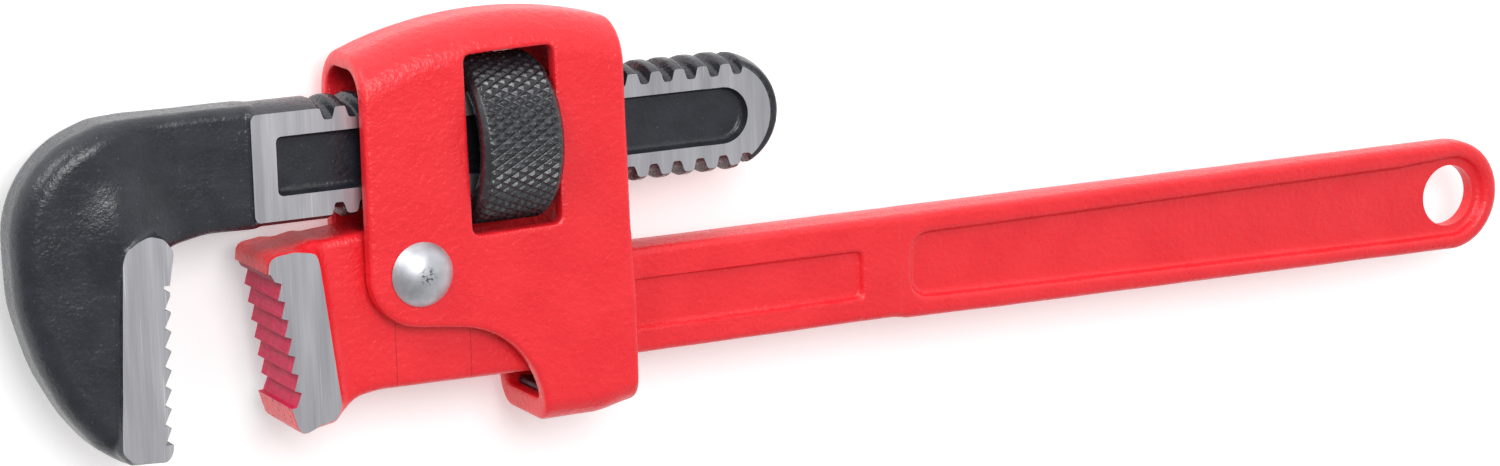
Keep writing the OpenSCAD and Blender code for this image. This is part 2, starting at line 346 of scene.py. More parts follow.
def finish_piece(obj, node, body, materials, pick=None, sharp=38):
    """Faces of the first material are smooth up to the sharp angle, and those of the others are flat."""
    mesh = obj.data
    mesh.materials.clear()
    for material in materials:
        mesh.materials.append(material)
    mesh.polygons.foreach_set("use_smooth", [True] * len(mesh.polygons))
    if pick:
        choose_materials(mesh, pick)
    mesh.transform(Matrix.Translation(PIVOT) @ Matrix.Scale(MM, 4))
    mesh.set_sharp_from_angle(angle=math.radians(sharp))
    for polygon in mesh.polygons:
        if polygon.material_index:
            polygon.use_smooth = False
    mesh.update()
    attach(obj, body)
    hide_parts(node)


# ---------------------------------------------------------------- materials
class Surface:
    """A Principled material built node by node. Lengths in its patterns are in millimetres."""

    def __init__(self, name):
        self.material = bpy.data.materials.new(name)
        self.material.use_nodes = True
        self.tree = self.material.node_tree
        self.shader = next(n for n in self.tree.nodes if n.type == "BSDF_PRINCIPLED")
        self.coords = self.tree.nodes.new("ShaderNodeTexCoord").outputs["Object"]

    def set(self, **values):
        for name, value in values.items():
            self.shader.inputs[name.replace("_", " ")].default_value = value

    def link(self, source, socket):
        self.tree.links.new(source, self.shader.inputs[socket])

    def space(self, size, turn=(0, 0, 0), stretch=(1, 1, 1)):
        """Object space scaled so that one unit is size millimetres, with each axis stretched."""
        node = self.tree.nodes.new("ShaderNodeMapping")
        node.vector_type = "POINT"
        node.inputs["Scale"].default_value = [1 / (size * MM * s) for s in stretch]
        node.inputs["Rotation"].default_value = [math.radians(a) for a in turn]
        self.tree.links.new(self.coords, node.inputs["Vector"])
        return node.outputs["Vector"]

    def noise(self, size, detail=3, roughness=0.5, turn=(0, 0, 0), stretch=(1, 1, 1)):
        node = self.tree.nodes.new("ShaderNodeTexNoise")
        node.inputs["Scale"].default_value = 1
        node.inputs["Detail"].default_value = detail
        node.inputs["Roughness"].default_value = roughness
        self.tree.links.new(self.space(size, turn, stretch), node.inputs["Vector"])
        return node.outputs["Fac"]

    def dots(self, size):
        """Distance to the nearest of scattered points, in units of size millimetres."""
        node = self.tree.nodes.new("ShaderNodeTexVoronoi")
        node.inputs["Scale"].default_value = 1
        self.tree.links.new(self.space(size), node.inputs["Vector"])
        return node.outputs["Distance"]

    def map(self, source, low, high, to_low, to_high):
        node = self.tree.nodes.new("ShaderNodeMapRange")
        for socket, value in zip(("From Min", "From Max", "To Min", "To Max"), (low, high, to_low, to_high)):
            node.inputs[socket].default_value = value
        self.tree.links.new(source, node.inputs["Value"])
        return node.outputs["Result"]

    def math(self, operation, a, b):
        node = self.tree.nodes.new("ShaderNodeMath")
        node.operation = operation
        for socket, value in zip(node.inputs, (a, b)):
            if isinstance(value, (int, float)):
                socket.default_value = value
            else:
                self.tree.links.new(value, socket)
        return node.outputs["Value"]

    def vector(self, operation, a, b):
        """A vector node of a socket and a fixed vector."""
        node = self.tree.nodes.new("ShaderNodeVectorMath")
        node.operation = operation
        self.tree.links.new(a, node.inputs[0])
        node.inputs[1].default_value = b
        return node.outputs

    def mix(self, factor, a, b):
        """Colour a where the factor is 0 and b where it is 1; each is a colour or a socket."""
        node = self.tree.nodes.new("ShaderNodeMix")
        node.data_type = "RGBA"
        self.tree.links.new(factor, node.inputs["Factor"])
        sockets = [s for s in node.inputs if s.type == "RGBA"]
        for socket, value in zip(sockets, (a, b)):
            if isinstance(value, tuple):
                socket.default_value = (*value, 1)
            else:
                self.tree.links.new(value, socket)
        return next(s for s in node.outputs if s.type == "RGBA")

    def stripe(self, place, width):
        """1 within about half a width (millimetres) of the plane x = place (metres), 0 beyond."""
        split = self.tree.nodes.new("ShaderNodeSeparateXYZ")
        self.tree.links.new(self.coords, split.inputs["Vector"])
        off = self.math("ABSOLUTE", self.math("SUBTRACT", split.outputs["X"], place), 0)
        return self.map(off, 0.45 * width * MM, 0.55 * width * MM, 1, 0)

    def near(self, place, fade_out, full):
        """1 within full millimetres of the vertical line through a place, 0 beyond fade_out millimetres."""
        flat = self.vector("MULTIPLY", self.coords, (1, 1, 0))["Vector"]
        off = self.vector("DISTANCE", flat, (place.x, place.y, 0))["Value"]
        return self.map(off, full * MM, fade_out * MM, 1, 0)

    def facing(self, direction):
        """1 where the surface faces a direction of the row frame, -1 where it faces away."""
        normal = self.tree.nodes.new("ShaderNodeTexCoord").outputs["Normal"]
        return self.vector("DOT_PRODUCT", normal, direction)["Value"]

    def pointed(self):
        """0.5 on flat surface, more on ridges and less in grooves."""
        return self.tree.nodes.new("ShaderNodeNewGeometry").outputs["Pointiness"]

    def roughness(self, source, low, high):
        """Roughness from low to high over the middle of a noise."""
        self.link(self.map(source, 0.3, 0.7, low, high), "Roughness")

    def bump(self, *layers):
        """Stacks (height socket, height in millimetres) layers into the shader's normal."""
        previous = None
        for height, depth in layers:
            node = self.tree.nodes.new("ShaderNodeBump")
            node.inputs["Strength"].default_value = 1
            node.inputs["Distance"].default_value = depth * MM
            self.tree.links.new(height, node.inputs["Height"])
            if previous:
                self.tree.links.new(previous, node.inputs["Normal"])
            previous = node.outputs["Normal"]
        self.link(previous, "Normal")
        return self.material


def red_paint(name="red_paint", scribed=()):
    """Signal red enamel with a fine orange peel. scribed: x in the row frame of each thin line cut in it."""
    red_low, red_high = (0.775, 0.012, 0.022), (0.82, 0.018, 0.028)
    speck_colour, scribed_colour = (0.30, 0.008, 0.014), (0.20, 0.004, 0.008)
    scribed_width, scribed_depth = 0.14, 0.08
    s = Surface(name)
    s.set(Specular_IOR_Level=0.55)
    colour = s.mix(s.map(s.noise(9, 4), 0.35, 0.65, 0, 1), red_low, red_high)
    specks = s.map(s.dots(12), 0.009, 0.014, 1, 0)
    colour = s.mix(specks, colour, speck_colour)
    layers = [(s.noise(1.2, 3), 0.21), (s.noise(0.5, 3), 0.085), (s.noise(7, 2), 0.05)]
    for place in scribed:
        line = s.stripe(place, scribed_width)
        colour = s.mix(s.math("MULTIPLY", line, 0.45), colour, scribed_colour)
        layers.append((s.math("MULTIPLY", line, -1.0), scribed_depth))
    s.link(colour, "Base Color")
    s.roughness(s.noise(0.8, 3), 0.26, 0.40)
    return s.bump(*layers)


def tooth_red():
    """The red on the milled faces of the heel's teeth. It is darker than the red paint as painted shade, and
    darker still, as painted shade, on the faces that turn away from +y.
    """
    # painted shade: these reds are darker than the red paint, and the last one is darker again for the faces
    # turned away from the light
    shaded_coat_low, shaded_coat_high, painted_shade_colour = (0.60, 0.018, 0.075), (0.72, 0.026, 0.100), (0.30, 0.008, 0.030)
    s = Surface("tooth_red")
    s.set(Specular_IOR_Level=0.2)
    shaded_coat = s.mix(s.map(s.noise(1.6, 4), 0.35, 0.65, 0, 1), shaded_coat_low, shaded_coat_high)
    # painted shade: faces that turn away from +y, and so from the light, take the darkest red
    up = s.map(s.facing((0, 1, 0)), -0.6, 0.2, 0, 1)
    s.link(s.mix(up, painted_shade_colour, shaded_coat), "Base Color")
    lines = s.noise(0.35, 2, stretch=(1, 1, 14))
    s.roughness(lines, 0.40, 0.55)
    return s.bump((lines, 0.03), (s.noise(0.9, 3), 0.05))


def black_paint():
    """Blackened forging: satin, with a grain that sparkles in the highlights."""
    black_low, black_high, worn_colour = (0.012, 0.014, 0.020), (0.023, 0.025, 0.034), (0.10, 0.10, 0.11)
    s = Surface("black_paint")
    s.set(Specular_IOR_Level=0.55)
    colour = s.mix(s.map(s.noise(5, 5), 0.35, 0.68, 0, 1), black_low, black_high)
    worn = s.map(s.dots(1.9), 0.05, 0.08, 1, 0)
    s.link(s.mix(worn, colour, worn_colour), "Base Color")
    s.roughness(s.noise(0.6, 3), 0.20, 0.36)
    return s.bump((s.noise(1.1, 3), 0.105), (s.noise(0.42, 3), 0.065), (s.noise(4.5, 2), 0.14))


def ground_steel():
    """Bare steel with fine grinding lines across the wrench and a few stray scratches."""
    steel_low, steel_high, scratch_colour = (0.44, 0.44, 0.477), (0.585, 0.585, 0.62), (0.72, 0.72, 0.75)
    grinding = (0, 0, 4)
    s = Surface("ground_steel")
    s.set(Metallic=1.0)
    lines = s.noise(0.22, 3, 0.6, turn=grinding, stretch=(1, 70, 4))
    bands = s.noise(2.4, 2, 0.5, turn=grinding, stretch=(1, 12, 4))
    colour = s.mix(s.map(s.math("ADD", lines, bands), 0.65, 1.35, 0, 1), steel_low, steel_high)
    scratch = s.map(s.noise(0.35, 1, turn=(0, 0, 24), stretch=(1, 60, 4)), 0.70, 0.74, 0, 1)
    s.link(s.mix(scratch, colour, scratch_colour), "Base Color")
    s.roughness(bands, 0.40, 0.50)
    return s.bump((lines, 0.010), (bands, 0.010))


def nut_black():
    """Blackened steel, worn bright on the edges of the knurl and of the end."""
    black_low, black_high, edge_colour = (0.014, 0.015, 0.019), (0.050, 0.052, 0.060), (0.10, 0.103, 0.115)
    s = Surface("nut_black")
    s.set(Specular_IOR_Level=0.7)
    colour = s.mix(s.map(s.noise(1.1, 4), 0.52, 0.72, 0, 1), black_low, black_high)
    edge = s.map(s.pointed(), 0.55, 0.66, 0, 1)
    s.link(s.mix(edge, colour, edge_colour), "Base Color")
    s.roughness(s.noise(0.5, 2), 0.22, 0.38)
    return s.bump((s.noise(0.25, 2), 0.012), (s.noise(1.2, 2), 0.02))


def rivet_steel():
    """Bright peened steel with dark scuffs on top of the heads."""
    steel_high, steel_low, scuff_colour = (0.60, 0.61, 0.65), (0.50, 0.505, 0.54), (0.13, 0.13, 0.14)
    s = Surface("rivet_steel")
    s.set(Metallic=1.0)
    colour = s.mix(s.map(s.noise(2.2, 4), 0.35, 0.7, 0, 1), steel_high, steel_low)
    scuffs = s.map(s.noise(0.6, 4, 0.7), 0.53, 0.58, 0, 1)
    scuffs = s.math("MULTIPLY", scuffs, s.near(PIVOT, 2.0, 1.0))
    s.link(s.mix(scuffs, colour, scuff_colour), "Base Color")
    s.roughness(s.noise(0.9, 4), 0.42, 0.50)
    return s.bump((s.noise(0.9, 3), 0.012), (s.noise(0.12, 1, stretch=(1, 14, 1)), 0.003))


def spring_steel():
    """Blued spring steel, drawn along the leaf."""
    blue_low, blue_high = (0.05, 0.055, 0.075), (0.11, 0.11, 0.13)
    s = Surface("spring_steel")
    s.set(Metallic=1.0)
    s.link(s.mix(s.map(s.noise(3, 3), 0.35, 0.65, 0, 1), blue_low, blue_high), "Base Color")
    s.roughness(s.noise(0.7, 3), 0.28, 0.42)
    return s.bump((s.noise(0.3, 2, stretch=(8, 8, 1)), 0.008))


def floor_white():
    """Matt white card that glows a little, so that the background stays white."""
    s = Surface("floor_white")
    s.set(Specular_IOR_Level=0.2, Emission_Strength=0.25, Emission_Color=(1, 1, 1, 1))
    tone = s.map(s.noise(60, 3), 0.3, 0.7, 0, 1)
    s.link(s.mix(tone, (0.93, 0.93, 0.93), (0.95, 0.95, 0.95)), "Base Color")
    s.roughness(s.noise(14, 3), 0.6, 0.7)
    return s.bump((s.noise(0.9, 2), 0.02))


# ---------------------------------------------------------------- teeth and ground faces
TOOTH_DEPTH = 1.3
TOOTH_RAKE = 0.5
CUT_HALF = 12


def tooth_row(tip, step, count, side):
    """Tips and valleys of a jaw's teeth from top to bottom. side: -1 where the steel lies left of them."""
    points = []
    for i in range(count):
        x, y = tip[0] + i * step[0], tip[1] + i * step[1]
        valley = (x + side * TOOTH_DEPTH, y - side * TOOTH_RAKE)
        points += [valley, (x, y)] if side < 0 else [(x, y), valley]
    return points


def ground_at(c, n, *heights):
    """Which faces lie flat at one of the heights above or below the middle plane."""
    level = np.zeros(c.shape[1], bool)
    for height in heights:
        level |= np.abs(np.abs(c[2]) - height) < 0.01
    return level & (np.abs(n[2]) > 0.999)


# ---------------------------------------------------------------- hook jaw
HOOK_TIP = (-46.2, 2.1)
HOOK_TEETH = 8
HOOK_STEP = (-0.186, -3.43)
NECK_HALF = 4.8
HOOK_HALF = 6.9
HOOK_BULGE = 1.25
STRIP_DRAFT = 0.45

# the screw: radii, the first groove's middle at angle 0, and the groove's half width at its root and slope
CREST_R = 11.1
ROOT_R = 9.3
FIRST_GROOVE = -15.2
GROOVES = 18
GROOVE_HALF = 0.83
GROOVE_FLANK = 0.344
GROOVE_FLANK_COSINE = 0.945
SCREW_END = 65.5

# the shank's ground flats and the recess sunk in each
SHANK_HALF = 5.5
PAD_X = -29.2
RECESS_DEPTH = 1.9
RECESS_DRAFT = 0.28
RECESS_END = (63.6, SCREW_Y)
RECESS_END_R = 5.35


def hook_body(g):
    """The hook and its neck, without the screw."""
    back = arc((-21.9, 9), 50.9, 222, 180, 18) + arc((-53.5, 12.6), 19.2, 180, 110, 16)
    toe = arc((-52.2, -20.5), 8, 299, 229, 10)
    outline = [(PAD_X + 2, 10.4), (-37.5, 10.4), (-44.4, 9.2), (-46.3, 7.5), (-48.9, 3), (-49.6, -24)]
    outline += toe + back + [(-56, 32.1), (-50, 32.5), (PAD_X + 2, 32.5)]
    body2 = soften(outline_distance(g.x2, g.y2, outline), 2)
    swell = ramp(g.x2 + 0.25 * g.y2, -38, -52)
    half = NECK_HALF + (HOOK_HALF - NECK_HALF) * swell - 0.8 * ramp(-g.x2, 58, 74)
    # the forging bulges at the hook's inner corner and is rounder along its back
    half = half + HOOK_BULGE * swell * (1 - ramp(np.hypot(g.x2 + 51, g.y2 - 13), 3, 12))
    back_r = 2.2 + 2.0 * ramp(-g.x2, 48, 60)
    return both(body2[:, :, None], np.abs(g.z) - half[:, :, None], back_r[:, :, None])


def tooth_strip(g):
    """The raised strip behind the hook's teeth, before it is ground flat."""
    outline = [(-46.4, 3.4), (-45.4, 9.2), (-47.1, 11.6), (-49.6, 12.4), (-51.6, 11.7), (-53.9, 10.0),
               (-54.7, 8), (-56.6, -25.2), (-54.8, -27.3), (-48.1, -27.7), (-47.3, -26), (-47.3, -22)]
    strip2 = soften(outline_distance(g.x2, g.y2, outline), 1)
    taper = STRIP_DRAFT * np.clip(np.abs(g.z) - JAW_HALF, -1.4, 0.7)
    return both(strip2[:, :, None] + taper * (g.x < -48), np.abs(g.z) - JAW_HALF - 0.7, 0.6)


def thread_field(g, rho, turn):
    """The helical groove that the shank's thread leaves, as a solid."""
    lead = g.x - FIRST_GROOVE - PITCH * turn
    number = np.clip(np.round(lead / PITCH), 0, GROOVES - 1)
    width = GROOVE_HALF + (rho - ROOT_R) * GROOVE_FLANK
    return both((np.abs(lead - number * PITCH) - width) * GROOVE_FLANK_COSINE, ROOT_R - rho, 0.25)


def screw_bar(g):
    """The round threaded bar with its ball end, before the flats are made."""
    rho = np.hypot(g.y - SCREW_Y, g.z)
    turn = np.arctan2(g.z, g.y - SCREW_Y) / (2 * math.pi)
    ball = np.sqrt((g.x - SCREW_END) ** 2 + rho ** 2) - CREST_R
    bar = np.where(g.x > SCREW_END, ball, rho - CREST_R)
    return cut(bar, thread_field(g, rho, turn), 0.12)


def shank_recess(g):
    """The sunk panel in each flat of the shank, with a round end."""
    recess2 = np.where(g.x2 < 60, g.box((-24.7, 16.1), (90, 26.8), 1.0), g.circle(RECESS_END, RECESS_END_R))
    straight = (g.x2 >= 60) & (g.x2 < RECESS_END[0])
    recess2 = np.where(straight, np.abs(g.y2 - SCREW_Y) - RECESS_END_R, recess2)
    depth = SHANK_HALF - np.abs(g.z)
    return both(recess2[:, :, None] + RECESS_DRAFT * np.maximum(depth, 0), depth - RECESS_DEPTH, 0.7)


def screw_shank(g):
    """The threaded bar flattened on two sides. Its ground pads stand proud of the neck with round corners."""
    bar = screw_bar(g)
    pad_end = 64
    flat2 = g.box((PAD_X, 11.5), (120, 31.3), 1.6)
    flat2 = np.where(g.x2 > pad_end, np.maximum(flat2, g.circle((pad_end, SCREW_Y), 9.7)), flat2)
    above = np.abs(g.z) - SHANK_HALF
    pad = both(bar, both(flat2[:, :, None] + 0.5 * above, above - 0.5, 0.2))
    core = both(bar, both(PAD_X - g.x, np.abs(g.z) - NECK_HALF))
    return cut(np.minimum(pad, core), shank_recess(g))


def hook_jaw():
    """The moving jaw with its screw, one forging. Its teeth and flats are cut afterwards."""
    g = Grid((-74.5, -31.5, -9.6), (78, 34.5, 9.6), 0.36)
    ripple = 0.06 * wander(g, 12, 3) + 0.012 * wander(g, 3.1, 4)
    field = either(hook_body(g) + ripple, tooth_strip(g) + 0.6 * ripple, 0.6)
    field = either(field, screw_shank(g), 0.35)
    hook = g.mesh(field, "hook_jaw_forging")

    row = tooth_row(HOOK_TIP, HOOK_STEP, HOOK_TEETH, -1)
    mouth = row[::-1] + [(-47.6, 3.4), (-30, 3.4), (-30, -24.9), (-48.8, -24.9)]
    cutters = [prism(mouth, -CUT_HALF, CUT_HALF)]
    for slabs in zip(slab_cutters(-80, -36, -40, 40, JAW_HALF), slab_cutters(-34, 90, 0, 40, SHANK_HALF)):
        cutters += slabs
    remove(hook, cutters)

    def pick(c, n):
        return ground_at(c, n, JAW_HALF, SHANK_HALF).astype(int)

    finish_piece(hook, "hook_jaw", "jaw", [black_paint(), ground_steel()], pick)


# ---------------------------------------------------------------- handle
HEEL_TIP = (-27.2, 1.6)
HEEL_TEETH = 7
HEEL_STEP = (0.465, -3.35)
HEEL_LEAN = 0.42
PIN_HOLE_R = 3.52
GRIP_STATIONS = [30, 46, 124, 219, 260]
GRIP_HALF = [6.3, 4.8, 4.8, 3.4, 3.4]
GRIP_CROWN = 0.10
GRIP_EDGE_R = 1.3
LAND_STEP = 0.14
PANEL_DRAFT = 0.32
LONG_STATIONS = [90, 124, 219, 260]
LONG_FLOOR = [3.2, 3.1, 1.45, 1.45]
SHORT_FLOOR = 3.75


def grip_bar(g, half, ripple):
    """The grip between its top and bottom lines with a round end, thinner towards the end."""
    outline = [(30, -1.3), (129, -1.8), (236, -2.35)] + arc((236.2, -13.95), 11.65, 88, -84, 18)
    outline += [(125, -23.5), (103.5, -23.0), (100.5, -22.45), (30, -22.1)]
    height = np.abs(g.z)
    crown = GRIP_CROWN * np.sqrt(height * height + 0.3)
    return both(g.outline(outline)[:, :, None] + crown, height - half, GRIP_EDGE_R) + ripple


def long_panel(g, depth):
    """The long panel, sunk to a tapering floor. Its end wall runs round the hanging hole."""
    outline = arc((108.2, -9.9), 4, 180, 90, 8) + [(222, -6.2), (236, -5.4), (236, -22.6), (222, -22.4)]
    outline += arc((108.2, -15), 4, 270, 180, 8)
    panel2 = soften(np.minimum(g.outline(outline), g.circle(HOLE, 8.6)), 1)
    floor = np.interp(g.x2, LONG_STATIONS, LONG_FLOOR)[:, :, None]
    return both(panel2[:, :, None] + PANEL_DRAFT * np.maximum(depth, 0), floor - np.abs(g.z), 0.6)


def short_panel(g, depth):
    """The short panel next to the frame, sunk to a level floor."""
    panel2 = soften(g.outline([(20, -7.3), (93.5, -8.0), (93.5, -17.4), (20, -17.0)]), 1)
    return both(panel2[:, :, None] + 0.3 * np.maximum(depth, 0), SHORT_FLOOR - np.abs(g.z), 0.3)


def neck_bar(g, ripple):
    """The part of the handle inside the frame."""
    outline = [(-22, 5.5), (-18.6, 7.2), (-10, 8), (1, 7.4), (9, 3.8), (46, -1.5), (46, -22.2), (-7, -21.3),
               (-11.5, -22), (-14.6, -24.4), (-20, -24.5)]
    neck2 = soften(g.outline(outline), 2)
    half = np.interp(g.x2, [-20, 30, 46, 60], [6.3, 6.3, 4.8, 0.5])
    neck = both(neck2[:, :, None], np.abs(g.z) - half[:, :, None], 1.6) + ripple
    return both(neck, g.x - 44)


def heel_block(g, ripple):
    """The fixed jaw, before its teeth are cut and its sides are ground flat."""
    outline = arc((-26.6, 4.5), 1.7, 95, 185, 8)
    outline += [(-28.6, 1.5), (-25.9, -19), (-25.0, -22.5), (-23.9, -26.2), (-22.4, -27.0), (-15.6, -25.9),
                (-14.3, -22.4), (-17.4, 4), (-18.3, 7.3), (-23.2, 6.6)]
    heel2 = soften(g.outline(outline), 1)
    height = np.abs(g.z)
    # the back of the block leans in towards its ground sides
    lean = HEEL_LEAN * np.maximum(height - 5.5, 0)
    return both(heel2[:, :, None] + lean * ramp(g.x, -24, -19), height - JAW_HALF - 0.6, 0.9) + 0.7 * ripple


def handle():
    """Grip, neck and fixed jaw, one forging. Its teeth, ground sides and holes are cut afterwards."""
    g = Grid((-30, -29, -9.6), (249.5, 10, 9.6), 0.5)
    ripple = 0.025 * wander(g, 16, 7) + 0.008 * wander(g, 4, 8)
    # the grip steps down a little just before the long panel
    half = np.interp(g.x2, GRIP_STATIONS, GRIP_HALF) + LAND_STEP * ramp(g.x2, 102.4, 101.2)
    half = half[:, :, None]
    depth = half - np.abs(g.z)
    grip = cut(grip_bar(g, half, ripple), long_panel(g, depth), 0.6)
    grip = cut(grip, short_panel(g, depth), 0.3)
    body = either(neck_bar(g, ripple), heel_block(g, ripple), 1.6)
    forging = g.mesh(either(body, grip, 0.2), "handle_forging")

    row = tooth_row(HEEL_TIP, HEEL_STEP, HEEL_TEETH, 1)
    mouth = [(-40, 3.0), (-27.9, 3.0)] + row + [(-24.2, -21.6), (-40, -22.4)]
    remove(forging, [prism(mouth, -CUT_HALF, CUT_HALF)] + slab_cutters(-40, -8, -40, 20, JAW_HALF))
    remove(forging, [prism(circle(HOLE, HOLE_R, 96), -9, 9), prism(circle((0, 0), PIN_HOLE_R, 48), -9, 9)])

    def pick(c, n):
        milled = (np.abs(n[2]) < 1e-4) & (c[0] < -20) & (c[1] < 2.5)
        return np.where(ground_at(c, n, JAW_HALF), 1, np.where(milled, 2, 0))

    materials = [RED_HANDLE, ground_steel(), tooth_red()]
    finish_piece(forging, "handle", "handle", materials, pick)


# ---------------------------------------------------------------- frame
DOME_X = 19.5
DOME_TOP = 45
DOME_R = 78.5
DOME_EDGE_R = 7.5
FOOT_Y = -31
FOOT_EDGE_R = 4.6
SIDE_EDGE_R = 0.9
SHELL_WALL = 2.6
SPACE_HALF = 7.1
SPACE_EDGE_R = 4.5
LOOP_FLOOR_Y = -26.7
WINDOW_CENTRE = (18.8, 22.3)
WINDOW_HALF = (8.8, 16.4)
WINDOW_LEAN = math.radians(1.2)
FRAME_PIN_R = 3.55


def window_field(g):
    """The nut's window, a rectangle that leans a little."""
    x, y = g.x2 - WINDOW_CENTRE[0], g.y2 - WINDOW_CENTRE[1]
    cosine, sine = math.cos(WINDOW_LEAN), math.sin(WINDOW_LEAN)
    along, across = x * cosine + y * sine, y * cosine - x * sine
    return box_distance(along, across, (-WINDOW_HALF[0], -WINDOW_HALF[1]), WINDOW_HALF, 1.5)


def frame_casting():
    """A hollow shell with a domed back, flat sides, the loop round the handle and the nut's window."""
    g = Grid((-12, -33, -12), (45, 47, 12), 0.4)
    height = np.abs(g.z)
    dome = np.hypot(g.x - DOME_X, g.y - (DOME_TOP - DOME_R)) - DOME_R
    side = [(41, 60), (-9.8, 60)] + arc((0, 0), 9.8, 180, 262.7, 14) + arc((5.2, -29), 18.3, 82.7, 0, 18)
    side += [(23.5, -34), (42.7, -34), (42.7, -10), (41.9, 5), (41.5, 29)]
    side2 = soften(g.outline(side), 1)
    foot = FOOT_Y - g.y + 1.5 * ramp(g.x, 34, 43)
    ripple = 0.018 * wander(g, 14, 11) + 0.006 * wander(g, 3.3, 12)
    shell = both(dome, height - FRAME_HALF, DOME_EDGE_R)
    shell = both(shell, foot, FOOT_EDGE_R)
    shell = both(shell, side2[:, :, None], SIDE_EDGE_R) + ripple
    space = both(dome + SHELL_WALL, height - SPACE_HALF, SPACE_EDGE_R)
    space = both(space, LOOP_FLOOR_Y - g.y, 1.5)
    casting = cut(shell, space, 0.7)
    casting = cut(casting, window_field(g)[:, :, None], 0.55)
    obj = g.mesh(casting, "frame_casting")
    remove(obj, [prism(circle((0, 0), FRAME_PIN_R, 48), -14, 14)])
    finish_piece(obj, "frame", "frame", [RED])


# ---------------------------------------------------------------- nut
NUT_AROUND = 816
KNURLS = 51
KNURL_DEPTH = 0.5
KNURL_TURN = math.radians(31)
NUT_CHAMFER = 0.8
BORE_R = 11.5
BORE_CHAMFER = 0.3
RIDGE_HEIGHT = 1.8


def knurl_groove(angle, x):
    """0 on the diamonds' tops, 1 at the bottom of the crossed grooves."""
    turn = angle * KNURLS / (2 * math.pi)
    slant = x * math.tan(KNURL_TURN) * KNURLS / (2 * math.pi * NUT_R)
    a = np.abs((turn + slant) % 1 - 0.5) * 2
    b = np.abs((turn - slant) % 1 - 0.5) * 2
    return np.maximum(np.clip((a - 0.28) / 0.66, 0, 1), 0.8 * np.clip((b - 0.28) / 0.66, 0, 1))


def thread_ridge(angle, x):
    """1 on the nut's thread ridge, 0 between its turns."""
    lead = (x + NUT_LOW.x - FIRST_GROOVE - PITCH * angle / (2 * math.pi)) / PITCH
    off = np.abs(lead - np.round(lead)) * PITCH
    return 1 - ramp(off, 0.6, 1.15)


def adjusting_nut():
    """A closed ring: the outside carries the diamond knurl and the bore its thread ridge."""
    length = NUT_HIGH.x - NUT_LOW.x
    angle = np.linspace(0, 2 * math.pi, NUT_AROUND, endpoint=False)
    low_r = NUT_R - KNURL_DEPTH
    face_r = low_r - NUT_CHAMFER
    rings = [(0.0, BORE_R + 0.6), (0.0, face_r), (0.08, face_r + 0.16), (NUT_CHAMFER - 0.1, low_r - 0.12)]
    for x in np.linspace(NUT_CHAMFER, length - NUT_CHAMFER, 120):
        fade = min(1, (x - NUT_CHAMFER) / 0.5, (length - NUT_CHAMFER - x) / 0.5)
        rings.append((x, NUT_R - KNURL_DEPTH * (1 - (1 - knurl_groove(angle, x)) * max(fade, 0))))
    rings += [(length - NUT_CHAMFER + 0.1, low_r - 0.12), (length - 0.08, face_r + 0.16), (length, face_r),
              (length, BORE_R + 0.6)]
    for x in np.linspace(length - BORE_CHAMFER, BORE_CHAMFER, 60):
        fade = min(1, (x - BORE_CHAMFER) / 1.6, (length - BORE_CHAMFER - x) / 1.6)
        rings.append((x, BORE_R - RIDGE_HEIGHT * thread_ridge(angle, x) * max(fade, 0)))

    xs = np.array([np.full(NUT_AROUND, x) for x, _ in rings])
    rs = np.array([np.broadcast_to(r, (NUT_AROUND,)) for _, r in rings])
    verts = np.stack([xs + NUT_LOW.x, SCREW_Y + rs * np.cos(angle), rs * np.sin(angle)], -1).reshape(-1, 3)
    a = np.arange(len(verts)).reshape(len(rings), NUT_AROUND)
    b = np.roll(a, -1, 0)
    faces = np.stack([a, np.roll(a, -1, 1), np.roll(b, -1, 1), b], -1).reshape(-1, 4)
    obj = mesh_object("knurled_nut", verts, faces)
    flip_if_inside_out(obj)
    finish_piece(obj, "adjusting_nut", "nut", [nut_black()], sharp=50)


# ---------------------------------------------------------------- rivets
def lathe(name, profile, around, axis_to):
    """A closed solid turned from a profile of (radius, distance along its axis) that starts and ends on the
    axis. axis_to turns (across, across, along) into x, y and z."""
    angle = np.linspace(0, 2 * math.pi, around, endpoint=False)
    verts, faces = [], []
    for r, d in profile[1:-1]:
        verts += [axis_to(r * math.cos(a), r * math.sin(a), d) for a in angle]
    rings = len(profile) - 2
    for i in range(rings - 1):
        for k in range(around):
            m = (k + 1) % around
            faces.append((i * around + k, i * around + m, (i + 1) * around + m, (i + 1) * around + k))
    first, last = len(verts), len(verts) + 1
    verts += [axis_to(0, 0, d) for d in (profile[0][1], profile[-1][1])]
    for k in range(around):
        m = (k + 1) % around
        faces.append((first, m, k))
        faces.append((last, (rings - 1) * around + k, (rings - 1) * around + m))
    obj = mesh_object(name, verts, faces)
    flip_if_inside_out(obj)
    return obj


def pivot_rivet():
    """Two peened heads on one shank, each a shallow dome with a rolled edge."""
    low, high = node_box("pivot_rivet")
    head_r = (high.x - low.x) / 2
    shank_r, edge = 3.5, 0.2
    seat = FRAME_HALF + 0.03
    height = high.z - seat
    ball_r = (head_r ** 2 + height ** 2) / (2 * height)
    steps = 26
    top = []
    for i in range(steps + 1):
        r = head_r * math.sin(i / steps * math.pi / 2)
        rise = (math.sqrt(ball_r ** 2 - r ** 2) - ball_r + height) / height
        top.append((r, seat + edge + (height - edge) * rise))
    top += [(head_r - 0.12, seat + 0.03), (head_r - 0.5, seat), (shank_r, seat)]
    profile = top + [(r, -d) for r, d in reversed(top)]
    obj = lathe("pivot_rivet_peened", profile, 96, lambda u, v, d: (u, v, d))
    finish_piece(obj, "pivot_rivet", "handle", [rivet_steel()], sharp=50)


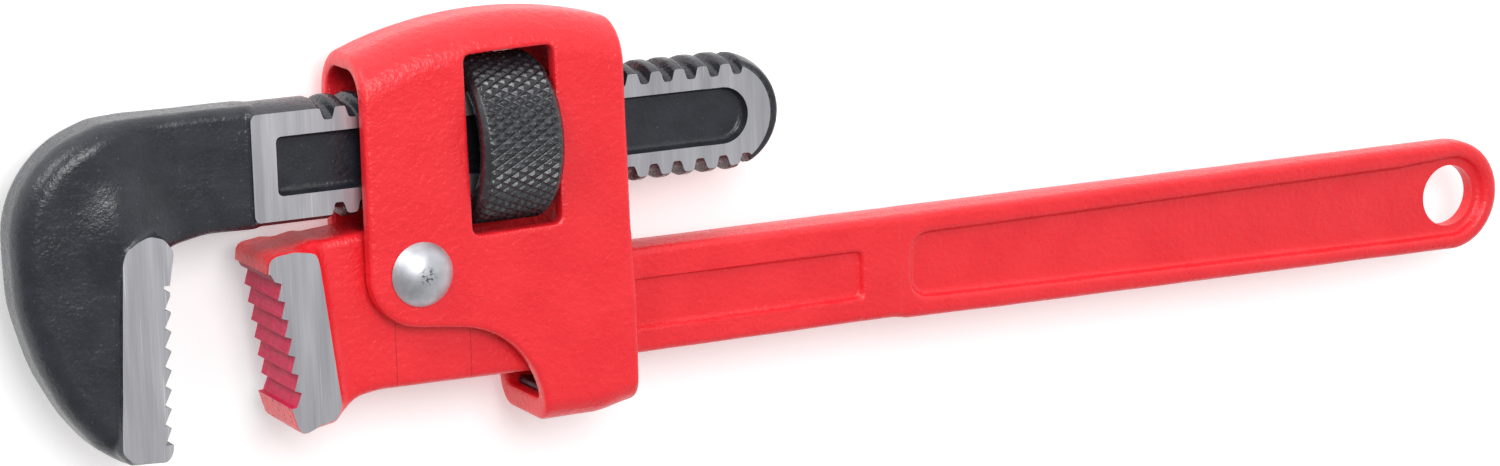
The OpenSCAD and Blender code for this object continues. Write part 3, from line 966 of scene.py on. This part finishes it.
def spring_rivet():
    """A flush rivet with a low round head under the leaf."""
    low, high = node_box("spring_rivet")
    x = (low.x + high.x) / 2
    head_r, head_h, shank_r = (high.x - low.x) / 2, 0.7, 1.5
    profile = [(0, low.y), (head_r - 0.7, low.y + 0.03), (head_r - 0.2, low.y + 0.2), (head_r, low.y + 0.45),
               (head_r - 0.1, low.y + 0.68), (shank_r, low.y + head_h), (shank_r, high.y - 0.15),
               (shank_r - 0.15, high.y), (0, high.y)]
    obj = lathe("spring_rivet_flush", profile, 48, lambda u, v, d: (x + u, d, v))
    finish_piece(obj, "spring_rivet", "frame", [rivet_steel()], sharp=50)


# ---------------------------------------------------------------- springs
LEAF_HALF_THICKNESS = 0.4
LOOP_LEAF_ROOT = (26.4, -26.2)
LOOP_LEAF = [LOOP_LEAF_ROOT, (33.5, -24.6), (39.4, -23.1), (40.3, -22.95)]
LOOP_LEAF_HALF = 6.0
SHANK_LEAF = [(28.6, 40.95), (31, 40.7), (33.4, 40.2), (35.4, 38.9), (37.2, 36.4), (38.8, 34.2), (40, 33.4),
              (41.2, 33.8)]
SHANK_LEAF_HALF = 4.0


def smooth_line(points, steps):
    """Points along a smooth curve through the given ones."""
    points = [Vector(p) for p in points]
    fine = []
    for i in range(len(points) - 1):
        before, after = points[max(i - 1, 0)], points[min(i + 2, len(points) - 1)]
        a, b = points[i], points[i + 1]
        for t in (s / steps for s in range(steps)):
            fine.append(0.5 * ((2 * a) + (b - before) * t + (2 * before - 5 * a + 4 * b - after) * t * t
                               + (3 * a - before - 3 * b + after) * t ** 3))
    return fine + [points[-1]]


def leaf(name, node, body, line, half, bead=None):
    """A leaf of spring steel along a smooth line, with round long edges. bead: a rolled root's centre and
    radius."""
    fine = smooth_line(line, 6)
    low, high = node_box(node)
    g = Grid((low.x - 1, low.y - 1, -half - 1), (high.x + 1, high.y + 1, half + 1), 0.14)
    near = np.full(g.x2.shape, 1e9, np.float32)
    for a, b in zip(fine, fine[1:]):
        e = b - a
        t = np.clip(((g.x2 - a.x) * e.x + (g.y2 - a.y) * e.y) / e.length_squared, 0, 1)
        near = np.minimum(near, np.hypot(g.x2 - a.x - t * e.x, g.y2 - a.y - t * e.y))
    flat = near - LEAF_HALF_THICKNESS
    if bead:
        flat = np.minimum(flat, g.circle(*bead))
    field = both(flat[:, :, None], np.abs(g.z) - half, 0.25)
    finish_piece(g.mesh(field, name), node, body, [SPRING], sharp=50)


# ---------------------------------------------------------------- stage
HORIZON_LIGHT = 1.0
OVERHEAD_LIGHT = 0.42
BRIGHT_SIDE = (0.34, 0.40, 0)
# name, place in metres from the middle of the wrench, size in metres, power in watts
LIGHTS = [("key_light", (-0.18, 0.34, 0.85), 0.42, 4.6), ("back_light", (-0.62, 0.62, 0.30), 0.35, 2.3)]
FLOOR_HALF = 2.5
CAMERA_PLACE = Vector((-266.375, 147.410, 636.678))
CAMERA_TURN = (-11.0636, -28.2347, -1.4952)


def studio_floor():
    """A pale floor that the wrench's lowest point touches."""
    low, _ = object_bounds()
    f = FLOOR_HALF
    floor = mesh_object("studio_floor", [(-f, -f, 0), (f, -f, 0), (f, f, 0), (-f, f, 0)], [(0, 1, 2, 3)])
    floor.location = (0, 0, low.z)
    floor.data.materials.append(floor_white())
    floor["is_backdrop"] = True


def studio_sky():
    """Even light, stronger at the horizon than overhead and stronger on one side."""
    world = bpy.data.worlds.new("studio_light")
    world.use_nodes = True
    nodes, links = world.node_tree.nodes, world.node_tree.links
    direction = nodes.new("ShaderNodeTexCoord").outputs["Generated"]
    height = nodes.new("ShaderNodeSeparateXYZ")
    links.new(direction, height.inputs["Vector"])
    glow = nodes.new("ShaderNodeMapRange")
    glow.inputs["To Min"].default_value = HORIZON_LIGHT
    glow.inputs["To Max"].default_value = OVERHEAD_LIGHT
    links.new(height.outputs["Z"], glow.inputs["Value"])
    side = nodes.new("ShaderNodeVectorMath")
    side.operation = "DOT_PRODUCT"
    side.inputs[1].default_value = BRIGHT_SIDE
    links.new(direction, side.inputs[0])
    lit = nodes.new("ShaderNodeMath")
    lit.operation = "MULTIPLY_ADD"
    links.new(side.outputs["Value"], lit.inputs[0])
    links.new(glow.outputs["Result"], lit.inputs[1])
    links.new(glow.outputs["Result"], lit.inputs[2])
    links.new(lit.outputs["Value"], nodes["Background"].inputs["Strength"])
    nodes["Background"].inputs["Color"].default_value = (1, 1, 1, 1)
    bpy.context.scene.world = world


def studio_lights():
    """Soft lights aimed at the middle of the wrench."""
    middle = (cad_box[0] + cad_box[1]) / 2
    for name, place, size, power in LIGHTS:
        data = bpy.data.lights.new(name, "AREA")
        data.size = size
        data.energy = power
        light = bpy.data.objects.new(name, data)
        light.location = middle + Vector(place)
        light.rotation_euler = (middle - light.location).to_track_quat("-Z", "Y").to_euler()
        bpy.context.scene.collection.objects.link(light)


def photo_camera():
    """The camera of the reference view: a steep look at the wrench's side from above its jaws."""
    data = bpy.data.cameras.new("photo_camera")
    data.sensor_width = 36
    data.lens = 93.5
    camera = bpy.data.objects.new("photo_camera", data)
    camera.location = PIVOT + CAMERA_PLACE * MM
    camera.rotation_euler = [math.radians(a) for a in CAMERA_TURN]
    bpy.context.scene.collection.objects.link(camera)
    bpy.context.scene.camera = camera
    bpy.context.scene.view_settings.view_transform = "Standard"


SCRIBED_LINES = [PIVOT.x + x * MM for x in (-4.0, 10.6)]
RED = red_paint()
RED_HANDLE = red_paint("red_paint_handle", SCRIBED_LINES)
SPRING = spring_steel()
photo_camera()
studio_floor()
studio_sky()
studio_lights()
handle()
hook_jaw()
frame_casting()
adjusting_nut()
pivot_rivet()
spring_rivet()
leaf("loop_leaf", "loop_spring", "loop_spring", LOOP_LEAF, LOOP_LEAF_HALF, (LOOP_LEAF_ROOT, 1.0))
leaf("shank_leaf", "shank_spring", "frame", SHANK_LEAF, SHANK_LEAF_HALF)
